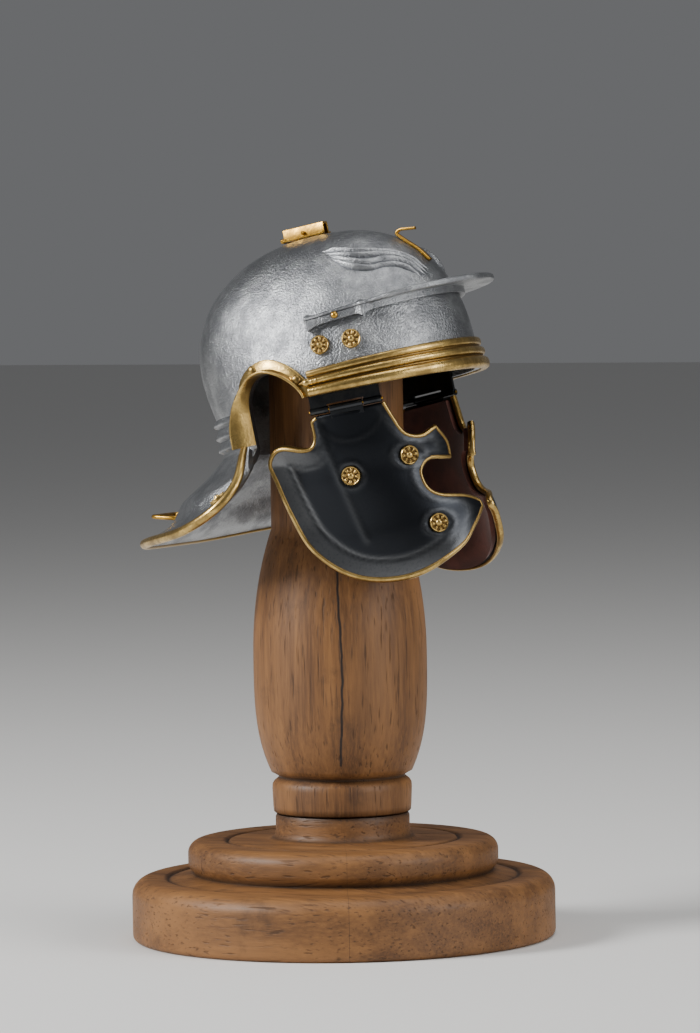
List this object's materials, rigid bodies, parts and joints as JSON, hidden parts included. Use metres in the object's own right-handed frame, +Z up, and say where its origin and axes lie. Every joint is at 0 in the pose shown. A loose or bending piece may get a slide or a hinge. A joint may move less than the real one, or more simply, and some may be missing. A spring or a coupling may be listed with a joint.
{
  "type": "roman legionary helmet on a turned wooden stand",
  "caption": "Bowl helmet with neck guard, brow band, peak, ear guards and hinged leather-lined cheek guards, on a round stepped wooden stand with a swelling post.",
  "frame": {"origin": "centre of the stand's underside", "axes": "+Z up along the post; the helmet faces -Y, and its own right side is -X"},
  "size_m": [0.06, 0.06, 0.1014],
  "materials": {
    "tinned_brass": "tinned, silver grey, cast texture, satin",
    "brass": "polished, darker in the recesses",
    "lining_leather": "dark red-brown suede",
    "turned_wood": "walnut-like, oiled, semi-matte"
  },
  "bodies": {
    "helmet_and_stand": {"bowl": "tinned_brass", "bowl_rosette_left_1": "brass", "bowl_rosette_left_2": "brass", "bowl_rosette_right_1": "brass", "bowl_rosette_right_2": "brass", "brow_band": "brass", "crest_holder": "brass", "crest_pin": "brass", "ear_guard_left": "brass", "ear_guard_right": "brass", "ear_rivet_left_1": "brass", "ear_rivet_left_2": "brass", "ear_rivet_right_1": "brass", "ear_rivet_right_2": "brass", "front_hook": "brass", "handle_eye_left": "brass", "handle_eye_right": "brass", "hinge_leaf_left": "brass", "hinge_leaf_right": "brass", "hinge_pin_left": "brass", "hinge_pin_right": "brass", "neck_rosette_left": "brass", "neck_rosette_right": "brass", "neck_trim": "brass", "rear_hook": "brass", "stand_base": "turned_wood", "stand_post": "turned_wood", "visor": "tinned_brass", "visor_stud_left": "brass", "visor_stud_right": "brass"},
    "cheek_guard_right": {"cheek_guard_right": "tinned_brass", "cheek_lining_right": "lining_leather", "cheek_rosette_right_1": "brass", "cheek_rosette_right_2": "brass", "cheek_rosette_right_3": "brass", "cheek_trim_right": "brass"},
    "cheek_guard_left": {"cheek_guard_left": "tinned_brass", "cheek_lining_left": "lining_leather", "cheek_rosette_left_1": "brass", "cheek_rosette_left_2": "brass", "cheek_rosette_left_3": "brass", "cheek_trim_left": "brass"},
    "carrying_handle": {"carrying_handle": "brass"}
  },
  "joints": [
    {"name": "cheek_guard_right_hinge", "type": "hinge", "parent": "helmet_and_stand", "child": "cheek_guard_right", "pos_m": [-0.01409, -0.00807, 0.07579], "axis": [-0.2852, 0.9392, -0.1911], "range_deg": [-5, 115]},
    {"name": "cheek_guard_left_hinge", "type": "hinge", "parent": "helmet_and_stand", "child": "cheek_guard_left", "pos_m": [0.01409, -0.00807, 0.07579], "axis": [-0.2852, -0.9392, 0.1911], "range_deg": [-5, 115]},
    {"name": "carrying_handle_hinge", "type": "hinge", "parent": "helmet_and_stand", "child": "carrying_handle", "pos_m": [0, 0.02363, 0.05933], "axis": [1, 0, 0], "range_deg": [-45, 125]}
  ]
}
